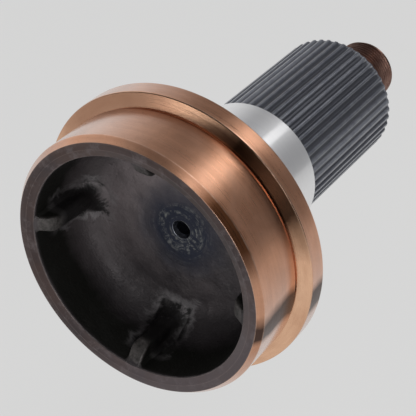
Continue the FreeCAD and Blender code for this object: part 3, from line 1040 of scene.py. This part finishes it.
def cup_floor(tree):
    """The cup's floor: forged skin with painted light and shade, and a faced, blue-tinted spot round the
    centre hole.
    """
    skin, forged = skin_colour(tree)
    marks = use_group(tree, turning_marks, Spacing=1.1, Wander=60.0)
    place = object_place(tree)
    flat = put(tree, "ShaderNodeVectorMath", {0: place, 1: (1000.0, 0.0, 1000.0)}, operation="MULTIPLY")
    radius = put(tree, "ShaderNodeVectorMath", {0: flat.outputs[0]}, operation="LENGTH").outputs["Value"]
    blots = noise_value(tree, 120.0, 4.0, 0.6)
    ragged = sum_of(tree, blots, 10.0, radius)
    spot = remap(tree, ragged, 25.0, 14.0, 0.0, 1.0)
    lines = remap(tree, marks["Height"], 0.47, 0.60, 0.0, 1.0)
    flecks = noise_value(tree, 320.0, 5.0, 0.7, 1.2)
    some = remap(tree, flecks, 0.46, 0.58, 0.0, 0.9)
    near = remap(tree, radius, 12.0, 6.0, 0.15, 1.0)
    shown = times(tree, times(tree, lines, some), near)
    faced = mix(tree, shown, (0.030, 0.034, 0.054), (0.27, 0.275, 0.265))
    depth = sum_of(tree, spot, -0.6, 1.0)
    height = times(tree, forged["Height"], depth)
    height = sum_of(tree, times(tree, marks["Height"], spot), 0.6, height)
    return {
        "Base Color": mix(tree, spot, skin, faced),
        "Metallic": sum_of(tree, spot, 0.3, 0.45),
        "Roughness": spread(tree, forged["Tone"], 0.40, 0.56),
        "Normal": bump(tree, height, 0.00016),
    }


def ground_bright(tree):
    """Ground bright steel with fine rings."""
    colours = bpy.context.scene.stub_colours
    marks = use_group(tree, turning_marks, Spacing=0.12, Wander=5.0)
    smears = use_group(tree, handling, Scale=80.0)
    base = mix(tree, spread(tree, marks["Streak"], 0.0, 0.35), colours.journal, (0.86, 0.87, 0.90))
    base = mix(tree, times(tree, smears["Smear"], 0.15), base, (0.84, 0.81, 0.79))
    return {
        "Base Color": base,
        "Metallic": 1.0,
        "Coat Weight": 1.0,
        "Coat IOR": 2.8,
        "Coat Roughness": 0.16,
        "Roughness": spread(tree, marks["Height"], 0.44, 0.54),
        "Normal": bump(tree, marks["Height"], 0.000006),
    }


def hardened_steel(tree):
    """Blue-grey heat-treated steel, with painted shade in the grooves, rubbed on the tips of the teeth."""
    colours = bpy.context.scene.stub_colours
    smears = use_group(tree, handling, Scale=55.0)
    wear = use_group(tree, edge_wear, Amount=0.7, Scale=260.0)
    high = mask_of(tree, "edge")
    base = mix(tree, times(tree, smears["Smear"], 0.5), colours.spline, (0.12, 0.125, 0.15))
    # Painted shade: the grooves between the teeth are darkened
    base = mix(tree, high, (0.055, 0.060, 0.080), base)
    base = mix(tree, wear["Mask"], base, colours.spline_worn)
    grain = use_group(tree, forged_surface, Grain=3000.0)
    return {
        "Base Color": base,
        "Metallic": 0.9,
        "Coat Weight": 0.8,
        "Coat IOR": 1.7,
        "Coat Roughness": 0.32,
        "Roughness": sum_of(tree, smears["Smear"], 0.10, 0.38),
        "Normal": bump(tree, grain["Height"], 0.00001),
    }


def nose_film(tree):
    """Copper-brown film on the nose's thread, rubbed on the crests."""
    colours = bpy.context.scene.stub_colours
    smears = use_group(tree, handling, Scale=90.0)
    wear = use_group(tree, edge_wear, Amount=0.35, Scale=350.0)
    base = mix(tree, smears["Smear"], (0.15, 0.075, 0.058), colours.nose)
    base = mix(tree, wear["Mask"], base, (0.42, 0.28, 0.23))
    grain = use_group(tree, forged_surface, Grain=3500.0)
    return {
        "Base Color": base,
        "Metallic": 1.0,
        "Roughness": sum_of(tree, smears["Smear"], 0.1, 0.28),
        "Normal": bump(tree, grain["Height"], 0.000008),
    }


# Stage


def stage_paper():
    """Plain pale paper for the floor."""
    colours = bpy.context.scene.stub_colours
    material = bpy.data.materials.new("stage_paper")
    material.use_nodes = True
    tree = material.node_tree
    tree.nodes.remove(tree.nodes["Principled BSDF"])
    fibre = noise_value(tree, 3.0, 2.0)
    base = mix(tree, times(tree, fibre, 0.05), colours.stage, (0.72, 0.72, 0.72))
    lit = put(tree, "ShaderNodeBsdfDiffuse", {"Color": base})
    glow = put(tree, "ShaderNodeEmission", {"Color": (0.755, 0.755, 0.752, 1.0), "Strength": 1.0})
    path = put(tree, "ShaderNodeLightPath").outputs
    seen = math_node(tree, "MAXIMUM", path["Is Camera Ray"], path["Is Glossy Ray"])
    seen = math_node(tree, "MAXIMUM", seen, path["Is Transmission Ray"])
    share = times(tree, seen, 0.8)
    both = put(tree, "ShaderNodeMixShader", {0: share, 1: lit.outputs[0], 2: glow.outputs[0]})
    output = next(node for node in tree.nodes if node.type == "OUTPUT_MATERIAL")
    tree.links.new(both.outputs[0], output.inputs["Surface"])
    return material


def make_stage():
    """A wide pale floor, soft lights, a dim room and the camera."""
    sizes = bpy.context.scene.stub_sizes
    half = 5.0
    made = bmesh.new()
    corners = [(-half, -half), (half, -half), (half, half), (-half, half)]
    made.faces.new([made.verts.new((x, y, -sizes.floor_drop)) for x, y in corners])
    mesh = bpy.data.meshes.new("studio_floor")
    made.to_mesh(mesh)
    made.free()
    floor = bpy.data.objects.new("studio_floor", mesh)
    bpy.context.scene.collection.objects.link(floor)
    floor.data.materials.append(stage_paper())
    make_lights()
    make_room()
    make_camera(sizes)
    bpy.context.scene.view_settings.view_transform = "Standard"


# The camera as fitted to the photograph: its turn and tilt in degrees, and its place from the rim
CAMERA_TURN = 32.83
CAMERA_TILT = 34.29
CAMERA_PLACE = (0.208609, -0.279206, 0.261744)

# How far the shaft and the camera are turned so that the ribs lie on the frame's axes, in degrees
RIB_TURN = -3.4

# The studio room's colours: all round, on its left wall, and behind the camera
ROOM_DIM = (0.20, 0.20, 0.207)
ROOM_LEFT = (0.86, 0.86, 0.86)
ROOM_BEHIND = (0.03, 0.03, 0.03)

# Soft lights as name, place, aim, width, height and radiant power in watts
LIGHTS = [
    ("overhead_strip", (0.25, 0.20, 0.72), (0.0, 0.20, 0.0), 1.4, 0.22, 2.0),
    ("front_left", (-0.52, -1.08, -0.02), (0.0, 0.0, 0.0), 0.3, 0.3, 0.4),
    ("front_soft", (0.54, -1.03, 0.30), (0.0, 0.0, 0.0), 0.5, 0.5, 3.6),
]


def make_lights():
    """Soft area lights round the shaft."""
    for name, place, aim, width, height, power in LIGHTS:
        data = bpy.data.lights.new(name, "AREA")
        data.shape = "RECTANGLE"
        data.size = width
        data.size_y = height
        data.energy = power
        lamp = bpy.data.objects.new(name, data)
        bpy.context.scene.collection.objects.link(lamp)
        lamp.location = place
        lamp.rotation_mode = "QUATERNION"
        lamp.rotation_quaternion = (Vector(aim) - Vector(place)).to_track_quat("-Z", "Y")


def make_room():
    """A dim studio room, brighter towards the left wall and dark behind the camera."""
    world = bpy.data.worlds.new("studio_room")
    bpy.context.scene.world = world
    world.use_nodes = True
    tree = world.node_tree
    back = tree.nodes["Background"]
    place = put(tree, "ShaderNodeTexCoord").outputs["Generated"]
    way = put(tree, "ShaderNodeSeparateXYZ", {0: place}).outputs
    left = remap(tree, way["X"], -0.30, -0.78, 0.0, 1.0)
    room = mix(tree, left, ROOM_DIM, ROOM_LEFT)
    behind = remap(tree, way["Y"], -0.15, -0.55, 0.0, 0.9)
    tree.links.new(mix(tree, behind, room, ROOM_BEHIND), back.inputs["Color"])
    back.inputs["Strength"].default_value = 1.0


def make_camera(sizes):
    """The camera, turned so that the ribs lie on the frame's axes."""
    data = bpy.data.cameras.new("camera")
    data.lens = sizes.lens
    data.sensor_width = 36.0
    data.clip_start, data.clip_end = 0.01, 20.0
    camera = bpy.data.objects.new("camera", data)
    bpy.context.scene.collection.objects.link(camera)
    a, e = math.radians(CAMERA_TURN), math.radians(CAMERA_TILT)
    right = Vector((math.cos(a), math.sin(a), 0))
    up = Vector((-math.sin(a) * math.sin(e), math.cos(a) * math.sin(e), math.cos(e)))
    back = right.cross(up)
    stand = Matrix((right, up, back)).transposed().to_4x4()
    stand.translation = Vector((0, RIM_AT, 0)) + Vector(CAMERA_PLACE)
    camera.matrix_world = Matrix.Rotation(math.radians(RIB_TURN), 4, "Y") @ stand
    bpy.context.scene.camera = camera


# Operators and panel


class STUB_OT_cup(bpy.types.Operator):
    """Make the turned cup with its forged hollow"""
    bl_idname = "stub.cup"
    bl_label = "Cup"

    def execute(self, context):
        make_cup()
        return {"FINISHED"}


class STUB_OT_ribs(bpy.types.Operator):
    """Make the four ribs inside the cup"""
    bl_idname = "stub.ribs"
    bl_label = "Ribs"

    def execute(self, context):
        make_ribs()
        return {"FINISHED"}


class STUB_OT_collar(bpy.types.Operator):
    """Make the weld collar"""
    bl_idname = "stub.collar"
    bl_label = "Weld collar"

    def execute(self, context):
        make_collar()
        return {"FINISHED"}


class STUB_OT_neck(bpy.types.Operator):
    """Make the forged neck"""
    bl_idname = "stub.neck"
    bl_label = "Neck"

    def execute(self, context):
        make_neck()
        return {"FINISHED"}


class STUB_OT_journal(bpy.types.Operator):
    """Make the ground journal"""
    bl_idname = "stub.journal"
    bl_label = "Journal"

    def execute(self, context):
        make_journal()
        return {"FINISHED"}


class STUB_OT_spline(bpy.types.Operator):
    """Make the splined shaft and its end in the cup's floor"""
    bl_idname = "stub.spline"
    bl_label = "Spline"

    def execute(self, context):
        make_spline()
        return {"FINISHED"}


class STUB_OT_nose(bpy.types.Operator):
    """Make the threaded nose"""
    bl_idname = "stub.nose"
    bl_label = "Threaded nose"

    def execute(self, context):
        make_nose()
        return {"FINISHED"}


class STUB_OT_stage(bpy.types.Operator):
    """Make the floor, the lights, the room and the camera"""
    bl_idname = "stub.stage"
    bl_label = "Stage"

    def execute(self, context):
        make_stage()
        return {"FINISHED"}


class STUB_PT_panel(bpy.types.Panel):
    """Sizes, colours and pieces of the stub shaft"""
    bl_idname = "STUB_PT_panel"
    bl_label = "Stub shaft"
    bl_space_type = "VIEW_3D"
    bl_region_type = "UI"
    bl_category = "Stub shaft"

    def draw(self, context):
        layout = self.layout
        for group in (context.scene.stub_sizes, context.scene.stub_colours):
            box = layout.box()
            for name in group.bl_rna.properties.keys():
                if name not in ("rna_type", "name"):
                    box.prop(group, name)
        for operator in OPERATORS:
            layout.operator(operator.bl_idname)


GROUPS = (StubSizes, StubColours)
OPERATORS = (STUB_OT_cup, STUB_OT_ribs, STUB_OT_collar, STUB_OT_neck,
             STUB_OT_journal, STUB_OT_spline, STUB_OT_nose, STUB_OT_stage)


def register():
    for item in (*GROUPS, *OPERATORS, STUB_PT_panel):
        bpy.utils.register_class(item)
    bpy.types.Scene.stub_sizes = PointerProperty(type=StubSizes)
    bpy.types.Scene.stub_colours = PointerProperty(type=StubColours)


def unregister():
    del bpy.types.Scene.stub_colours
    del bpy.types.Scene.stub_sizes
    for item in reversed((*GROUPS, *OPERATORS, STUB_PT_panel)):
        bpy.utils.unregister_class(item)


def main():
    """Make every piece in order."""
    register()
    bpy.ops.stub.cup()
    bpy.ops.stub.ribs()
    bpy.ops.stub.collar()
    bpy.ops.stub.neck()
    bpy.ops.stub.journal()
    bpy.ops.stub.spline()
    bpy.ops.stub.nose()
    bpy.ops.stub.stage()


if __name__ == "__main__":
    main()
